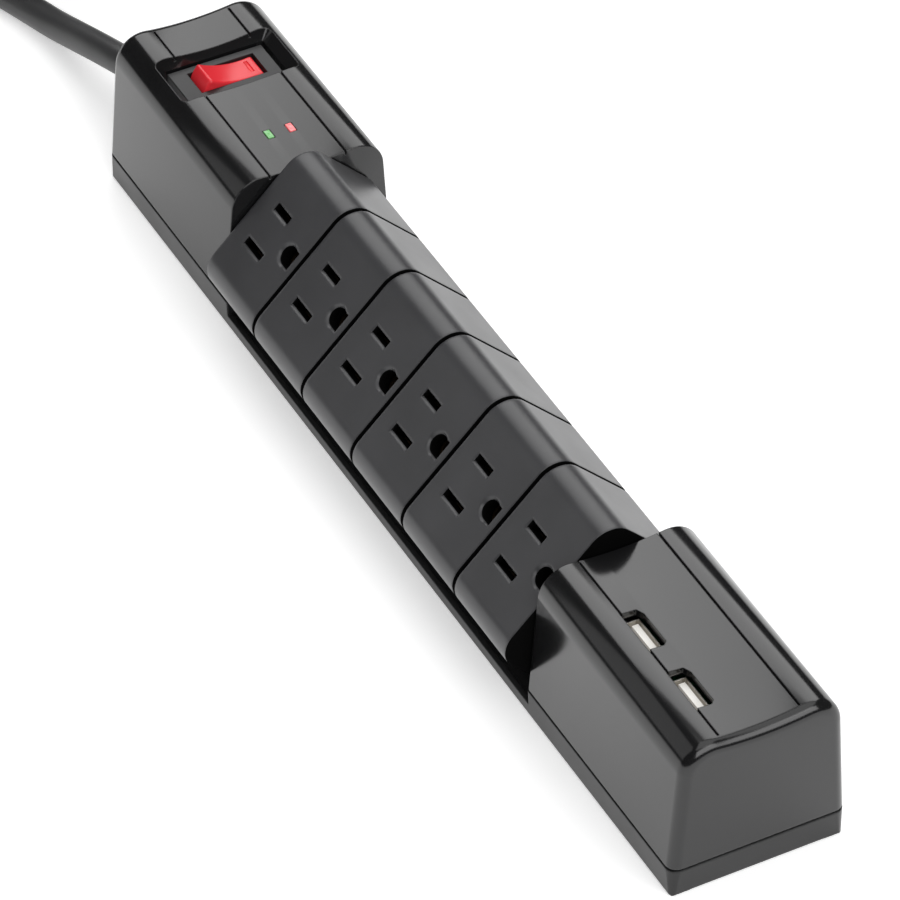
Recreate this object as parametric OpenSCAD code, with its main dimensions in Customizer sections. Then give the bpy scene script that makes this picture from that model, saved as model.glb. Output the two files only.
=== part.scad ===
// Power strip with six turning outlets, a rocker switch and two USB charging ports.
// X runs along the strip (cord at -X), Z is up, and the origin is the middle of the underside.

/* [Overall] */
// Length of the strip without its cord
body_len = 327; // [320:1:360]
// Width at the parting line
body_w = 51.4; // [50.6:0.2:58]
// Height of the shoulders above the surface it stands on
body_h = 49; // [48:0.5:54]
// Height of the parting line between tray and covers
parting_z = 8.6; // [7:0.2:11]
// Inward lean of the cover sides in degrees
draft = 3.9; // [2:0.1:5]
// Radius along the top shoulders
shoulder_r = 9; // [7:0.5:11]
// Depth of the shallow valley along the top
dip = 1; // [0.6:0.1:1.6]
// Radius round the edges of both ends
end_r = 3.2; // [2.6:0.1:4]
// Wall of the covers
wall = 2.2; // [1.8:0.1:2.6]
// Floor of the tray
floor_t = 2.2; // [1.8:0.1:2.6]
// Height of the low rails beside the outlets
rail_h = 3.9; // [3:0.1:5]

/* [Outlets] */
// Number of turning outlets
outlet_n = 6;
// Length of one outlet along the strip
outlet_len = 27.7; // [27:0.1:28.4]
// Width of one outlet
outlet_w = 47.4; // [45:0.2:48.4]
// Radius along the edges of the outlet face
face_r = 7.5; // [5:0.5:9]
// Radius of the round underside about the turning axis
back_r = 19.5; // [19:0.1:20]
// Gap between two outlets
seam = 1.4; // [1.3:0.1:1.8]
// Gap between an outlet and a cover
end_gap = 1.2; // [1:0.1:1.6]
// Turn of the outlets at rest, in degrees
rest_turn = 45; // [0:5:45]
// Distance between the two blade slots
blade_pitch = 12.7; // [12.6:0.1:12.8]
// Length of the shorter blade slot
hot_len = 7.2; // [6.8:0.1:7.6]
// Length of the longer blade slot
neutral_len = 8.6; // [8.2:0.1:9]
// Width of a blade slot
slot_w = 2.3; // [2:0.1:2.6]
// Distance from the blade slots to the ground hole
ground_x = 11.9; // [11.7:0.1:12.1]
// Radius of the ground hole
ground_r = 3; // [2.8:0.1:3.2]
// Width of the lead-in cut along the slots and round the ground hole
lead_in = 0.7; // [0.4:0.1:0.9]
// Outside radius of the turning hubs
hub_r = 9; // [8.5:0.1:9.5]
// Running clearance of a hub in its socket
hub_fit = 0.08; // [0.05:0.01:0.1]

/* [Switch] */
// Distance from the cord end to the middle of the switch
switch_from_end = 26; // [25:0.5:34]
// Depth of the switch recess below the shoulders
recess_d = 3.4; // [3:0.1:4]
// Length of the recess along the strip
recess_len = 20; // [19:0.5:21]
// Width of the recess across the strip
recess_w = 38; // [36:0.5:38.5]
// Width of the rocker along the strip
rocker_w = 9; // [8.5:0.1:9.5]
// Radius of the rocker ends about its pivot
rocker_r = 9.95; // [9.5:0.05:10.2]
// Tilt of the rocker to each side, in degrees
rocker_tilt = 11; // [9:0.5:12]
// Distance from the inner end of the switch cover to the indicator windows
lens_from_inner = 17.1; // [15.5:0.1:19]

/* [Charging ports] */
// Distance from the far end to the nearer port
port_from_end = 21.6; // [20:0.1:24]
// Distance between the two ports
port_pitch = 24.2; // [22:0.1:26]
// Offset of the ports from the middle line
port_y = -9.6; // [-10:0.1:-9]
// Length of a port shell
port_l = 13.1; // [13:0.1:13.4]
// Width of a port shell
port_w = 5.7; // [5.6:0.1:6]

/* [Cord] */
// Diameter of the cord
cord_d = 9; // [8:0.1:9.4]
// Length of the straight runs of the hank
hank_run = 173; // [150:1:190]

/* [Hidden] */
$fn = 64;
eps = 0.01;

// Places along the strip
pitch = outlet_len + seam;
middle_len = outlet_n * outlet_len + (outlet_n - 1) * seam + 2 * end_gap;
end_x = body_len / 2;
inner_x = middle_len / 2;
cover_len = end_x - inner_x;
first_x = -inner_x + end_gap;
switch_x = -end_x + switch_from_end;
lens_x = -inner_x - lens_from_inner;
port_xs = [end_x - port_from_end - port_pitch, end_x - port_from_end];

// Heights of the turning outlets
sweep_gap = 0.4;
axis_z = floor_t + sweep_gap + back_r;
face_d = body_h - dip - axis_z;
drop = back_r * sqrt(2) - outlet_w / 2;
split_up = 1;
split_step = 0.25;
face_t = 2.2;
side_t = 2.2;
end_t = 1.8;
plate_t = 2.2;
plate_r = hub_r + 2.5;
bore_r = hub_r - 2.5;
plate_gap = 0.15;
spigot_in = 2;
ground_in = 5.4;
blade_x = outlet_len - ground_in - ground_x;
flare_far = 0.3;
contact_gap = 3;
contact_fit = 0.3;
chute_t = 1;
contact_h = 9;
clip_len = 6.5;
clip_half = 1.5;
strip_t = 0.6;
tube_r = 3.2;
tube_t = 0.8;

// Outline of the covers across the strip
shoulder_z = body_h - shoulder_r;
shoulder_y = body_w / 2 - (shoulder_r + (shoulder_z - parting_z) * sin(draft)) / cos(draft);
valley_reach = (pow(shoulder_y, 2) + pow(dip, 2)) / (2 * dip);
valley_r = valley_reach - shoulder_r;
valley_z = body_h - dip + valley_r;
valley_lean = asin(shoulder_y / valley_reach);

// Tray and covers
seat_gap = 0.35;
lip_gap = 0.35;
lip_t = 1.2;
lip_h = 2.4;
rail_t = 2;
rib_gap = 0.3;
groove_y = 11.7;
groove_w = 0.6;
groove_d = 0.5;
edge_cut = 0.4;
tray_lean = 0.4;
foot_h = 0.5;
foot_w = 6;
foot_in = 3;
tray_wall = wall + lip_gap + lip_t;
roof_z = body_h - wall;

// Screws: two pairs under each cover
screw_r = 1.5;
screw_head_r = 3;
screw_head_t = 1.8;
screw_fit = 0.1;
screw_sink = 1;
screw_len = 16;
post_r = 4.2;
boss_r = 3.4;
screw_y = 16.6;
screw_in = 10.5;
screw_from_inner = 20;
screw_xs = [
    -end_x + screw_in, -inner_x - screw_from_inner, inner_x + screw_from_inner, end_x - screw_in
];

// Keyholes in the underside
key_r = 4;
key_slot_w = 4.2;
key_slot = 7;
key_from_end = 40;
key_xs = [-end_x + key_from_end, end_x - key_from_end];

// Switch
recess_z = body_h - recess_d;
recess_slope = 1.6;
recess_side = 3.7;
floor_l = recess_len - 2 * recess_slope;
floor_w = recess_w - 2 * recess_side;
ledge_t = 2;
well_wall = 2.4;
bezel_gap = 1.3;
bezel_fit = 0.1;
window_gap = 0.3;
pivot_drop = 4;
pivot_z = recess_z - pivot_drop;
rocker_low = 1.5;
rocker_sag = 1.45;
rocker_mid = pivot_drop;
rocker_half = sqrt(pow(rocker_r, 2) - pow(rocker_mid + rocker_sag, 2));
rocker_dish_r = (pow(rocker_half, 2) + pow(rocker_sag, 2)) / (2 * rocker_sag);
pin_r = 1;
pin_fit = 0.05;
pin_len = 1.2;
swbody_wall = 1.6;
swbody_l = rocker_w + 2 * window_gap + 2 * swbody_wall;
swbody_w = 2 * (rocker_r + window_gap) + 2 * swbody_wall;
swbody_fit = 0.2;
swbody_h = 15;
swbody_top = recess_z - ledge_t;
terminal_h = 7;
terminal_w = 6;
terminal_t = 0.8;
terminal_pitch = 7;

// Indicators
lens_y = 3.35;
lens_l = 3.4;
lens_w = 1.7;
lens_fit = 0.25;
lens_h = 8;
lens_proud = 0.2;
board_t = 1.6;
lens_board_l = 16;
lens_board_w = 22;
lens_board_z = roof_z - dip - lens_h - board_t;

// Charging ports
port_h = 12;
port_t = 0.35;
port_floor = 1.5;
port_fit = 0.1;
pocket_l = 14.8;
pocket_w = 5.9;
pocket_y = -9.1;
pocket_cut = 2.2;
tongue_t = 1.85;
tongue_l = 11;
tongue_h = 9.8;
tongue_gap = 0.5;
contact_w = 1;
contact_t = 0.2;
contact_pitch = 2.2;
contact_low = 1.6;
port_board_z = roof_z - dip - port_fit - port_h - board_t;
port_board_w = 22;
port_board_edge = 1;
port_board_end = 2;
port_post_r = 2;
post_x = port_from_end + port_pitch / 2;
post_pitch = 15;
post_ys = [port_y, port_y + post_pitch];

// Wires through the hubs
wire_r = 1.2;
wire_ring = 2.6;
board_in = 10;
cross_w = 34;
board_gap = 1;
varistor_r = 5;
varistor_t = 4;
varistor_pitch = 11;
varistor_up = 9;

// Cord: places along it are measured from the cord end of the strip, which is at -end_x
cord_y = -3;
cord_z = 20;
cord_yaw = 10;
cord_pitch = 9;
relief_len = 24;
relief_r = 6.4;
relief_tip_r = 5;
relief_neck_r = 6;
relief_collar_r = 7.2;
relief_collar_t = 1.6;
relief_flange_r = 8;
relief_flange_t = 2.4;
relief_bend = 1.5;
cord_clear = 0.2;
tube_fit = 0.1;
hank_r = 27;
hank_x = -114;
hank_y = 4;
hank_layers = 3;
layer_h = 9.2;
hank_h = hank_layers * layer_h;
route = [[-23.5, -7.1, 16.2], [-30.5, -8.4, 15], [-41.5, -10, 12.2], [-52.5, -11.3, 8.9],
    [-62.5, -12.8, 6.3], [-72.5, -15, 5], [-82.5, -18, 4.6], [-92.5, -21.4, 4.6]];
tail_z = hank_h + cord_clear + cord_d / 2;
tail_route = [[-116.5, -23, tail_z], [-136.5, -23, tail_z], [-156.5, -22, tail_z], [-176.5, -19, tail_z + 1],
    [-196.5, -14.5, tail_z + 4], [-216.5, -12, tail_z + 6], [-232.5, -11, tail_z + 7.3]];
tie_x = -146.5;
tie_w = 8;
tie_t = 1;
plug_x = -232.5;
plug_y = -11;
plug_w = 27;
plug_h = 24;
plug_l = 36;
plug_boot = 16;
plug_neck_r = 5.5;
plug_boot_r = 8.5;
plug_z = hank_h + plug_h / 2 + 0.1;
pin_blade_l = 16;
pin_blade_t = 1.5;
pin_blade_w = 6.3;
pin_blade_z = 2;
pin_ground_l = 19;
pin_ground_r = 2.35;
pin_ground_z = -6.7;

// Outline of a cover across the strip, drawn inward by t
module cover_outline(t) {
    r = shoulder_r - t;
    half = shoulder_y + r / cos(draft) + (shoulder_z - parting_z) * tan(draft);
    difference() {
        union() {
            polygon([[-half, parting_z], [half, parting_z],
                [shoulder_y + r * cos(draft), shoulder_z + r * sin(draft)], [shoulder_y, shoulder_z],
                [shoulder_y - r * sin(valley_lean), shoulder_z + r * cos(valley_lean)],
                [-shoulder_y + r * sin(valley_lean), shoulder_z + r * cos(valley_lean)],
                [-shoulder_y, shoulder_z], [-shoulder_y - r * cos(draft), shoulder_z + r * sin(draft)]]);
            translate([shoulder_y, shoulder_z]) circle(r);
            translate([-shoulder_y, shoulder_z]) circle(r);
        }
        translate([0, valley_z]) circle(valley_r + t, $fn = 200);
    }
}

// Strip-long bar with the outline of its children
module along_x(len) {
    rotate([90, 0, 90]) linear_extrude(len) children();
}

// End of the strip in plan, drawn inward by t, with its outer corners rounded
module end_plan(t, len) {
    half = body_w / 2 - t;
    r = max(end_r - t, 0.5);
    difference() {
        translate([0, -half]) square([len - t, 2 * half]);
        for (s = [-1, 1])
            translate([len - t - r, s * (half - r)])
                difference() {
                    translate([0, s < 0 ? -r : 0]) square([r, r]);
                    circle(r);
                }
    }
}

// End of the strip from the side, with the top edge rounded
module end_side(len) {
    translate([0, parting_z]) square([len, body_h - end_r - parting_z]);
    translate([0, parting_z]) square([len - end_r, body_h - parting_z + 1]);
    translate([len - end_r, body_h - end_r - dip / 2]) circle(end_r);
}

// Solid form of a cover, from its inner end at x = 0 to its outer end
module cover_form(len) {
    intersection() {
        along_x(len) cover_outline(0);
        translate([0, 0, parting_z - 1]) linear_extrude(body_h) end_plan(0, len);
        translate([0, body_w, 0]) rotate([90, 0, 0]) linear_extrude(2 * body_w) end_side(len);
    }
}

// Hollow of a cover
module cover_hollow(len) {
    intersection() {
        along_x(len) cover_outline(wall);
        translate([0, 0, parting_z - 1]) linear_extrude(body_h) end_plan(wall, len);
    }
}

// Shell of a cover with its screw bosses and the two grooves in its roof
module cover_shell(boss_xs) {
    difference() {
        cover_form(cover_len);
        difference() {
            translate([wall, 0, 0]) cover_hollow(cover_len - wall);
            for (x = boss_xs)
                for (s = [-1, 1])
                    translate([x, s * screw_y, parting_z - 1]) cylinder(r = boss_r, h = body_h);
            children();
        }
        translate([-1, -body_w, 0]) cube([cover_len + 2, 2 * body_w, parting_z + seat_gap]);
        for (x = boss_xs)
            for (s = [-1, 1])
                translate([x, s * screw_y, 0])
                    cylinder(r = screw_r + screw_fit / 2, h = screw_sink + screw_head_t + screw_len + 1);
        for (s = [-1, 1])
            translate([-1, s * groove_y - groove_w / 2, body_h - dip - groove_d])
                cube([cover_len - end_r + 1, groove_w, dip + groove_d + 1]);
    }
}

// Tapered pocket of the switch recess, open at the top
module recess_pocket() {
    intersection() {
        translate([0, recess_w, 0]) rotate([90, 0, 0]) linear_extrude(2 * recess_w)
            polygon([[-floor_l / 2, recess_z], [floor_l / 2, recess_z],
                [recess_len / 2, body_h], [recess_len / 2, body_h + 2],
                [-recess_len / 2, body_h + 2], [-recess_len / 2, body_h]]);
        translate([-recess_len, 0, 0]) along_x(2 * recess_len)
            polygon([[-floor_w / 2, recess_z], [floor_w / 2, recess_z],
                [recess_w / 2, body_h], [recess_w / 2, body_h + 2],
                [-recess_w / 2, body_h + 2], [-recess_w / 2, body_h]]);
    }
}

// Outline of the tray with its sides leaning inward below and its lower edges cut
module tray_outline(half, h) {
    polygon([[-half + tray_lean + edge_cut, 0], [half - tray_lean - edge_cut, 0],
        [half - tray_lean, edge_cut], [half, h], [-half, h], [-half + tray_lean, edge_cut]]);
}

module tray_plan(t) {
    end_plan(t, end_x);
    mirror([1, 0]) end_plan(t, end_x);
}

module keyhole(x) {
    translate([x, 0, -1]) cylinder(r = key_r, h = floor_t + 2);
    translate([x - key_slot, 0, -1]) cylinder(r = key_slot_w / 2, h = floor_t + 2);
    translate([x - key_slot, -key_slot_w / 2, -1]) cube([key_slot, key_slot_w, floor_t + 2]);
}

module base_tray() {
    color("#1b1b1d") difference() {
        union() {
            difference() {
                intersection() {
                    translate([-end_x, 0, 0]) along_x(body_len) tray_outline(body_w / 2, parting_z);
                    translate([0, 0, -1]) linear_extrude(parting_z + 2) tray_plan(0);
                    translate([0, body_w, 0]) rotate([90, 0, 0]) linear_extrude(2 * body_w)
                        tray_outline(end_x, parting_z);
                }
                for (m = [0, 1]) mirror([m, 0, 0])
                    translate([inner_x + tray_wall, 0, floor_t])
                        linear_extrude(parting_z) end_plan(tray_wall, cover_len - tray_wall);
                translate([-inner_x, -body_w / 2 + rail_t, floor_t])
                    cube([middle_len, body_w - 2 * rail_t, parting_z]);
                translate([-inner_x, -body_w, rail_h]) cube([middle_len, 2 * body_w, parting_z]);
            }
            for (m = [0, 1]) mirror([m, 0, 0]) lip();
            for (i = [1 : outlet_n - 1]) saddle(first_x + i * pitch - seam / 2);
            for (x = screw_xs)
                for (s = [-1, 1])
                    translate([x, s * screw_y, floor_t - eps])
                        cylinder(r = post_r, h = parting_z - floor_t);
        }
        for (x = screw_xs)
            for (s = [-1, 1]) {
                translate([x, s * screw_y, -1])
                    cylinder(r = screw_head_r + lip_gap, h = 1 + screw_sink + screw_head_t);
                translate([x, s * screw_y, -1]) cylinder(r = screw_r + screw_fit, h = parting_z + 4);
            }
        for (x = key_xs) keyhole(x);
        for (m = [0, 1]) mirror([m, 0, 0])
            translate([end_x - foot_in, -body_w / 2 + foot_w, -1])
                cube([foot_in + 1, body_w - 2 * foot_w, 1 + foot_h]);
    }
}

// Rim of the tray that stands inside a cover
module lip() {
    z0 = parting_z - 1;
    difference() {
        translate([inner_x + wall + lip_gap, 0, z0])
            linear_extrude(1 + lip_h) end_plan(wall + lip_gap, cover_len - wall - lip_gap);
        translate([inner_x + tray_wall, 0, z0 - 1])
            linear_extrude(4 + lip_h) end_plan(tray_wall, cover_len - tray_wall);
    }
}

// Thin rib between two outlets that carries the hub passing over it
module saddle(x) {
    rib_t = seam - 2 * rib_gap;
    difference() {
        translate([x - rib_t / 2, -plate_r, floor_t - eps]) cube([rib_t, 2 * plate_r, back_r + sweep_gap]);
        translate([x - rib_t, 0, axis_z]) rotate([0, 90, 0]) cylinder(r = hub_r + hub_fit, h = 2 * rib_t);
    }
}

module switch_cover() {
    boss = [screw_xs[1], screw_xs[0]];
    color("#202022") difference() {
        translate([-inner_x, 0, 0]) mirror([1, 0, 0])
            cover_shell([-inner_x - boss[0], -inner_x - boss[1]])
                translate([-inner_x - switch_x - recess_len / 2 - well_wall, -recess_w / 2 - 1,
                    swbody_top - well_wall])
                    cube([recess_len + 2 * well_wall, recess_w + 2, body_h]);
        translate([switch_x, 0, 0]) {
            recess_pocket();
            translate([-floor_l / 2, -floor_w / 2, recess_z - ledge_t]) cube([floor_l, floor_w, ledge_t + 1]);
            translate([-swbody_l / 2 - swbody_fit, -swbody_w / 2 - swbody_fit, 0])
                cube([swbody_l + 2 * swbody_fit, swbody_w + 2 * swbody_fit, body_h]);
        }
        for (s = [-1, 1])
            translate([lens_x - lens_l / 2 - lens_fit, s * lens_y - lens_w / 2 - lens_fit, roof_z - lens_h])
                cube([lens_l + 2 * lens_fit, lens_w + 2 * lens_fit, body_h]);
        translate([-inner_x - wall - 1, 0, axis_z]) rotate([0, 90, 0])
            cylinder(r = hub_r + hub_fit, h = wall + 2);
        translate([-end_x - 1, cord_y, cord_z]) rotate([0, 90, 0])
            cylinder(r = relief_neck_r + cord_clear, h = wall + 2);
    }
}

module usb_cover() {
    color("#202022") difference() {
        union() {
            translate([inner_x, 0, 0])
                cover_shell([screw_xs[2] - inner_x, screw_xs[3] - inner_x])
                    for (y = post_ys)
                        translate([cover_len - post_x, y, port_board_z + board_t])
                            cylinder(r = port_post_r, h = body_h);
            translate([inner_x - end_gap - spigot_in, 0, axis_z]) rotate([0, 90, 0])
                cylinder(r = hub_r, h = end_gap + spigot_in + eps);
        }
        translate([inner_x - end_gap - spigot_in - 1, 0, axis_z]) rotate([0, 90, 0])
            cylinder(r = bore_r, h = end_gap + spigot_in + wall + 2);
        for (x = port_xs) translate([x, pocket_y, port_board_z + board_t + 1]) port_pocket();
    }
}

// Opening in the roof over a port, with one corner cut off
module port_pocket() {
    l = pocket_l / 2;
    w = pocket_w / 2;
    linear_extrude(body_h)
        polygon([[-l, -w], [l, -w], [l, w - pocket_cut / 2], [l - pocket_cut / 2, w],
            [-l + pocket_cut, w], [-l, w - pocket_cut / 2]]);
}

// Plate in the floor of the recess, with a gap along two of its sides
module switch_bezel() {
    color("#232325") translate([switch_x, 0, recess_z - ledge_t]) difference() {
        translate([-floor_l / 2 + bezel_gap, -floor_w / 2 + bezel_fit, 0])
            cube([floor_l - bezel_gap - bezel_fit, floor_w - bezel_gap - bezel_fit, ledge_t]);
        translate([-rocker_w / 2 - window_gap, -rocker_r - window_gap, -1])
            cube([rocker_w + 2 * window_gap, 2 * (rocker_r + window_gap), ledge_t + 2]);
    }
}

// Rocker seen from its side, level, with the pivot at the origin
module rocker_side() {
    difference() {
        circle(rocker_r);
        translate([0, rocker_mid + rocker_dish_r]) circle(rocker_dish_r, $fn = 120);
        translate([-rocker_r - 1, -2 * rocker_r - rocker_low]) square([2 * rocker_r + 2, 2 * rocker_r]);
    }
}

module rocker() {
    color("#c4161c") translate([switch_x, 0, pivot_z]) rotate([-rocker_tilt, 0, 0]) {
        translate([-rocker_w / 2, 0, 0]) along_x(rocker_w) rocker_side();
        translate([-rocker_w / 2 - pin_len, 0, 0]) rotate([0, 90, 0])
            cylinder(r = pin_r, h = rocker_w + 2 * pin_len);
    }
}

module switch_body() {
    cav_l = rocker_w + 2 * window_gap;
    color("#141414") difference() {
        translate([switch_x - swbody_l / 2, -swbody_w / 2, swbody_top - swbody_h])
            cube([swbody_l, swbody_w, swbody_h]);
        translate([switch_x - cav_l / 2, 0, pivot_z]) rotate([0, 90, 0])
            cylinder(r = rocker_r + window_gap, h = cav_l);
        translate([switch_x - swbody_l, 0, pivot_z]) rotate([0, 90, 0])
            cylinder(r = pin_r + pin_fit, h = 2 * swbody_l);
    }
}

module switch_terminals() {
    color("#c9a85c") for (i = [-1, 0, 1])
        translate([switch_x - terminal_w / 2, i * terminal_pitch - terminal_t / 2,
            swbody_top - swbody_h - terminal_h])
            cube([terminal_w, terminal_t, terminal_h]);
}

// Light window and its light pipe, seated on the board below
module lens(s) {
    top = body_h - dip + lens_proud;
    translate([lens_x - lens_l / 2, s * lens_y - lens_w / 2, lens_board_z + board_t])
        cube([lens_l, lens_w, top - lens_board_z - board_t]);
}

module protected_lens() {
    color("#58b947") lens(-1);
}

module grounded_lens() {
    color("#e0393c") lens(1);
}

module indicator_board() {
    color("#1f5c3a") translate([lens_x - lens_board_l / 2, -lens_board_w / 2, lens_board_z])
        cube([lens_board_l, lens_board_w, board_t]);
}

// Upright board across a cover, up to the height top, that the wires through the hubs end on
module cross_board(x, top) {
    translate([x, -cross_w / 2, floor_t]) cube([board_t, cross_w, top - floor_t]);
}

module surge_board() {
    color("#1f5c3a") cross_board(-inner_x - board_in - board_t, lens_board_z);
}

module varistors() {
    color("#2d62b5") for (i = [-1, 0, 1])
        translate([-inner_x - board_in - board_t - varistor_t, i * varistor_pitch, floor_t + varistor_up])
            rotate([0, 90, 0]) cylinder(r = varistor_r, h = varistor_t);
}

module usb_power_board() {
    color("#1f5c3a") cross_board(inner_x + board_in, port_board_z - board_gap);
}

module usb_port_board() {
    x0 = port_xs[0] - port_l / 2 - port_board_end;
    x1 = port_xs[1] + port_l / 2 + port_board_end;
    color("#1f5c3a") translate([x0, port_y - port_w / 2 - port_board_edge, port_board_z])
        cube([x1 - x0, port_board_w, board_t]);
}

module usb_shells() {
    color("#b9bcc0") for (x = port_xs)
        translate([x, port_y, port_board_z + board_t]) difference() {
            translate([-port_l / 2, -port_w / 2, 0]) cube([port_l, port_w, port_h]);
            translate([-port_l / 2 + port_t, -port_w / 2 + port_t, port_floor])
                cube([port_l - 2 * port_t, port_w - 2 * port_t, port_h]);
        }
}

// Places something at the -Y face of each tongue
module at_tongues() {
    for (x = port_xs)
        translate([x, port_y + port_w / 2 - port_t - tongue_gap - tongue_t,
            port_board_z + board_t + port_floor]) children();
}

module usb_tongues() {
    color("#f2f2ee") at_tongues() translate([-tongue_l / 2, 0, 0]) cube([tongue_l, tongue_t, tongue_h]);
}

module usb_contacts() {
    color("#d6b25e") at_tongues() for (i = [-1.5 : 1 : 1.5])
        translate([i * contact_pitch - contact_w / 2, -contact_t, 0])
            cube([contact_w, contact_t, tongue_h - contact_low]);
}

// Puts one outlet at its place, turned about the long axis
module at_outlet(i) {
    translate([first_x + (i - 1) * pitch, 0, axis_z]) rotate([rest_turn, 0, 0]) children();
}

// Upper part of an outlet across the strip, with the turning axis at the origin
module face_outline(t) {
    half = outlet_w / 2 - t;
    r = face_r - t;
    low = drop - split_up;
    translate([-half, -low]) square([2 * half, face_d - t - r + low]);
    translate([-half + r, -low]) square([2 * (half - r), face_d - t + low]);
    for (s = [-1, 1]) translate([s * (half - r), face_d - t - r]) circle(r);
}

// Lower part of an outlet: a low rim and two slanted flats that run into a round underside
module back_outline(t) {
    half = outlet_w / 2 - split_step - t * sqrt(2);
    low = back_r - t;
    k = low / sqrt(2);
    top = drop - split_up;
    intersection() {
        union() {
            polygon([[-half, -top], [-half, -drop], [-k, -k], [k, -k], [half, -drop], [half, -top]]);
            circle(low);
        }
        translate([-outlet_w, -top - outlet_w]) square([2 * outlet_w, outlet_w]);
    }
}

// Slot for a blade, with a wide lead-in on its -Y side
module blade_slot(y, len) {
    l = len / 2;
    w = slot_w / 2;
    translate([blade_x, y, face_d]) {
        translate([-l, -w, -face_t - contact_gap]) cube([len, slot_w, face_t + contact_gap + 1]);
        intersection() {
            translate([-len, 0, 0]) along_x(2 * len)
                polygon([[-w, -lead_in], [w, -lead_in], [w, -flare_far], [w + flare_far, 0],
                    [w + flare_far, 1], [-w - lead_in, 1], [-w - lead_in, 0]]);
            translate([0, len, 0]) rotate([90, 0, 0]) linear_extrude(2 * len)
                polygon([[-l, -lead_in], [l, -lead_in], [l + lead_in, 0], [l + lead_in, 1],
                    [-l - flare_far, 1], [-l - flare_far, 0], [-l, -flare_far]]);
        }
    }
}

// Round hole for the ground pin, flat on its +X side
module ground_hole() {
    flat = ground_r + flare_far;
    translate([blade_x + ground_x, 0, face_d]) {
        translate([0, 0, -face_t - contact_gap]) cylinder(r = ground_r, h = face_t + contact_gap + 1);
        translate([0, -ground_r, -face_t - contact_gap])
            cube([flat, 2 * ground_r, face_t + contact_gap + 1]);
        intersection() {
            translate([0, 0, -lead_in]) cylinder(r1 = ground_r, r2 = ground_r + 2 * lead_in, h = 2 * lead_in);
            translate([-2 * ground_r, -2 * ground_r, -lead_in]) cube([2 * ground_r + flat, 4 * ground_r, 3]);
        }
    }
}

// Walls inside the face round its openings, down to just above the contacts
module chutes() {
    half = ground_r + chute_t;
    translate([blade_x, 0, face_d - face_t - contact_gap + contact_fit]) {
        for (s = [-1, 1]) translate([-clip_len / 2, s * blade_pitch / 2 - slot_w / 2 - chute_t, 0])
            cube([clip_len, slot_w + 2 * chute_t, contact_gap]);
        translate([ground_x - half, -half, 0]) cube([2 * half + flare_far, 2 * half, contact_gap]);
    }
}

module outlet_face(i) {
    color("#2b2b2e") at_outlet(i) difference() {
        along_x(outlet_len) face_outline(0);
        difference() {
            translate([end_t, 0, 0]) along_x(outlet_len - 2 * end_t) face_outline(side_t);
            chutes();
        }
        for (x = [-1, outlet_len - end_t - 1]) translate([x, 0, 0]) {
            rotate([0, 90, 0]) cylinder(r = plate_r + plate_gap, h = end_t + 2);
            translate([0, -plate_r - plate_gap, -outlet_w])
                cube([end_t + 2, 2 * (plate_r + plate_gap), outlet_w]);
        }
        blade_slot(blade_pitch / 2, hot_len);
        blade_slot(-blade_pitch / 2, neutral_len);
        ground_hole();
    }
}

module outlet_back(i) {
    color("#202022") at_outlet(i) difference() {
        union() {
            difference() {
                along_x(outlet_len) back_outline(0);
                translate([end_t, 0, 0]) along_x(outlet_len - 2 * end_t) back_outline(side_t);
            }
            for (x = [0, outlet_len - plate_t])
                translate([x, 0, 0]) rotate([0, 90, 0]) cylinder(r = plate_r, h = plate_t);
            translate([-seam - spigot_in, 0, 0]) rotate([0, 90, 0])
                cylinder(r = hub_r, h = seam + spigot_in + eps);
        }
        translate([-seam - spigot_in - 1, 0, 0]) rotate([0, 90, 0])
            cylinder(r = bore_r, h = seam + spigot_in + plate_t + 2);
        translate([outlet_len - plate_t - 1, 0, 0]) rotate([0, 90, 0])
            cylinder(r = hub_r + hub_fit, h = plate_t + 2);
    }
}

// Spring clip of folded strip under a blade slot, with its foot at z = 0
module blade_clip(y) {
    translate([blade_x - clip_len / 2, y, 0]) {
        for (s = [-1, 1]) translate([0, s * (clip_half - strip_t / 2) - strip_t / 2, 0])
            cube([clip_len, strip_t, contact_h]);
        translate([0, -clip_half + strip_t / 2, 0]) cube([clip_len, 2 * clip_half - strip_t, strip_t]);
    }
}

module outlet_contacts(i) {
    color("#d0a44c") at_outlet(i) translate([0, 0, face_d - face_t - contact_gap - contact_h]) {
        blade_clip(blade_pitch / 2);
        blade_clip(-blade_pitch / 2);
        translate([blade_x + ground_x, 0, 0]) difference() {
            cylinder(r = tube_r, h = contact_h);
            translate([0, 0, tube_t]) cylinder(r = tube_r - tube_t, h = contact_h);
        }
    }
}

module axis_wires() {
    color("#d8d8d8") for (a = [90, 210, 330])
        translate([-inner_x - board_in, wire_ring * cos(a), axis_z + wire_ring * sin(a)])
            rotate([0, 90, 0]) cylinder(r = wire_r, h = middle_len + 2 * board_in, $fn = 24);
}

module housing_screws() {
    color("#8e9194") for (x = screw_xs)
        for (s = [-1, 1]) translate([x, s * screw_y, screw_sink]) {
            cylinder(r = screw_head_r, h = screw_head_t, $fn = 32);
            cylinder(r = screw_r, h = screw_head_t + screw_len, $fn = 24);
        }
}

// Boot that holds the cord in the wall: neck, flange inside, collar outside and a taper along the cord
module strain_relief() {
    color("#18181a") translate([-end_x, cord_y, cord_z]) {
        rotate([0, 90, 0]) translate([0, 0, -relief_bend])
            cylinder(r = relief_neck_r, h = wall + relief_bend + tube_fit);
        translate([wall + tube_fit, 0, 0]) rotate([0, 90, 0])
            cylinder(r = relief_flange_r, h = relief_flange_t);
        translate([-cord_clear - relief_collar_t, 0, 0]) rotate([0, 90, 0])
            cylinder(r = relief_collar_r, h = relief_collar_t);
        translate([-relief_bend, 0, 0]) rotate([0, -cord_pitch, cord_yaw]) rotate([0, -90, 0])
            cylinder(r1 = relief_r, r2 = relief_tip_r, h = relief_len - relief_bend);
    }
}

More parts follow.
